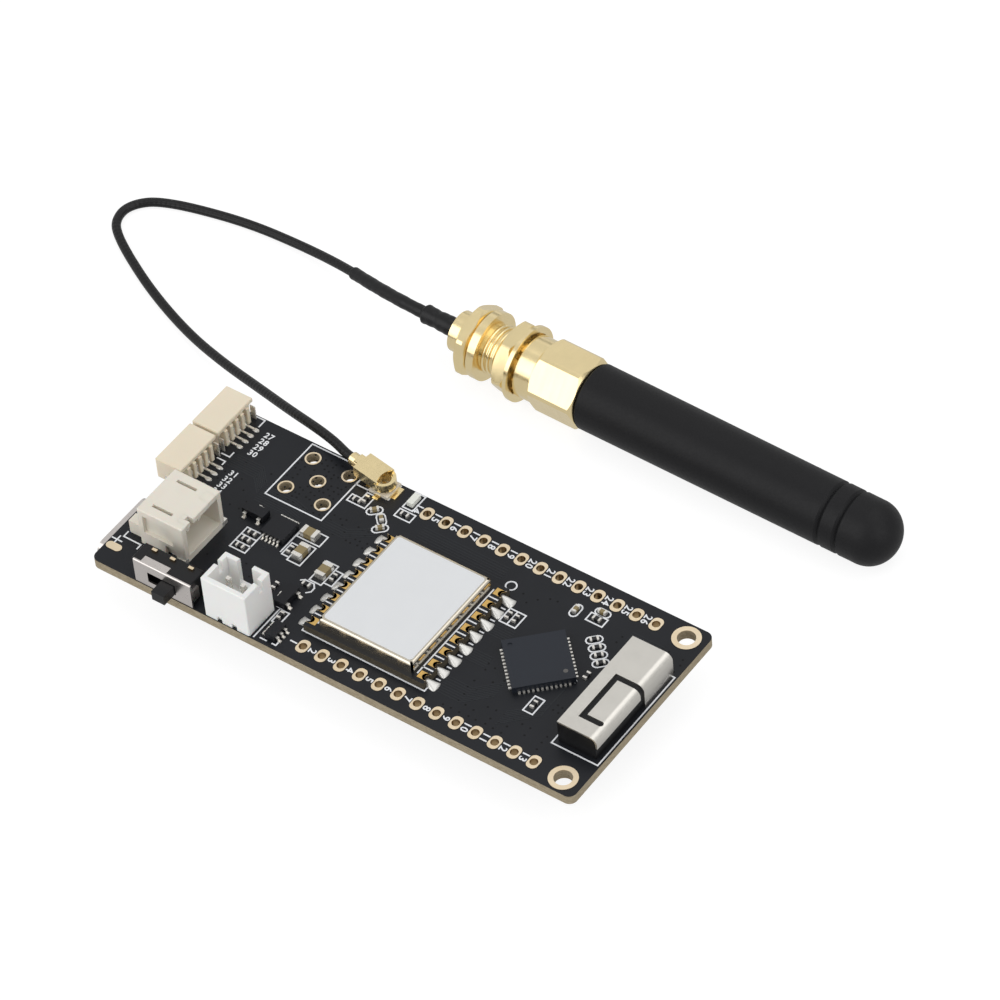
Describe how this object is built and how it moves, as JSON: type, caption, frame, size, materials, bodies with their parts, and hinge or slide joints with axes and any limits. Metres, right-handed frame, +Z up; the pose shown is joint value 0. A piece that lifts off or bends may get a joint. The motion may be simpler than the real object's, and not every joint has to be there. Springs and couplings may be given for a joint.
{
  "type": "radio development board",
  "caption": "Black radio circuit board with shielded module, connectors and slide switch, display below, and a stub antenna on a thin coaxial lead.",
  "frame": {"origin": "centre of the bounding box, on the surface that the display and the antenna rest on", "axes": "+X along the board's long side, from the connectors towards the chip antenna; +Y from the switch's edge towards the coaxial socket and stub antenna; +Z up"},
  "size_m": [0.108, 0.058, 0.0125],
  "materials": {
    "board_mask": "satin black solder mask",
    "pad_gold": "pale immersion gold",
    "solder": "tinned copper and solder",
    "module_board": "satin",
    "shield_tin": "matt tin plate",
    "label_paper": "matt",
    "chip_black": "moulded epoxy",
    "antenna_nickel": "nickel plate",
    "housing_beige": "natural nylon",
    "housing_white": "white nylon",
    "switch_black": "moulded",
    "switch_steel": "satin",
    "connector_gold": "pale gold plate, polished",
    "socket_white": "moulded",
    "capacitor_tan": "sintered",
    "resistor_black": "glazed",
    "led_lens": "translucent white",
    "display_glass": "polished dark glass",
    "frame_black": "moulded",
    "ribbon_amber": "polyimide film",
    "usb_steel": "satin",
    "ptfe_white": "machined",
    "antenna_rubber": "fine matt grain",
    "radiator_copper": "bare",
    "cable_black": "satin jacket",
    "sleeve_black": "shrunk sleeve"
  },
  "bodies": {
    "board": {"circuit_board": "board_mask", "header_pads": "pad_gold", "fixing_pads": "pad_gold", "jack_pads": "pad_gold", "battery_pad": "pad_gold", "radio_carrier": "module_board", "radio_lands": "pad_gold", "radio_pads": "solder", "radio_shield": "shield_tin", "radio_label": "label_paper", "radio_chip": "chip_black", "radio_crystal": "shield_tin", "processor": "chip_black", "processor_leads": "solder", "chip_antenna_block": "chip_black", "chip_antenna_plate": "antenna_nickel", "battery_connector": "housing_beige", "battery_pins": "solder", "upright_connector": "housing_white", "upright_pins": "solder", "side_connector_middle": "housing_beige", "side_connector_far": "housing_beige", "side_connector_pins": "solder", "switch_body": "switch_black", "switch_cover": "switch_steel", "switch_terminals": "pad_gold", "coax_socket_base": "socket_white", "coax_socket_ring": "connector_gold", "coax_plug": "connector_gold", "capacitors": "capacitor_tan", "resistors": "resistor_black", "chip_terminals": "solder", "status_led": "led_lens", "transistors": "chip_black", "transistor_leads": "solder", "regulator": "chip_black", "charger": "chip_black", "chip_leads": "solder", "display_panel": "display_glass", "display_frame": "frame_black", "display_ribbon": "ribbon_amber", "usb_shell": "usb_steel", "usb_tongue": "frame_black", "card_socket": "usb_steel", "usb_bridge": "chip_black", "reset_case": "usb_steel", "coax_cable": "cable_black", "jack_sleeve": "sleeve_black", "thin_sleeve": "sleeve_black", "jack_body": "connector_gold", "jack_insulator": "ptfe_white", "jack_contact": "pad_gold", "panel_nut": "connector_gold", "star_washer": "connector_gold", "coupling_nut": "connector_gold", "antenna_sheath": "antenna_rubber", "antenna_radiator": "radiator_copper"},
    "knob": {"switch_knob": "switch_black"},
    "button": {"reset_cap": "switch_black"}
  },
  "joints": [
    {"name": "switch_slide", "type": "slide", "parent": "board", "child": "knob", "axis": [1, 0, 0], "range_m": [-0.002, 0]},
    {"name": "reset_press", "type": "slide", "parent": "board", "child": "button", "axis": [0, 0, 1], "range_m": [0, 0.00025]}
  ]
}
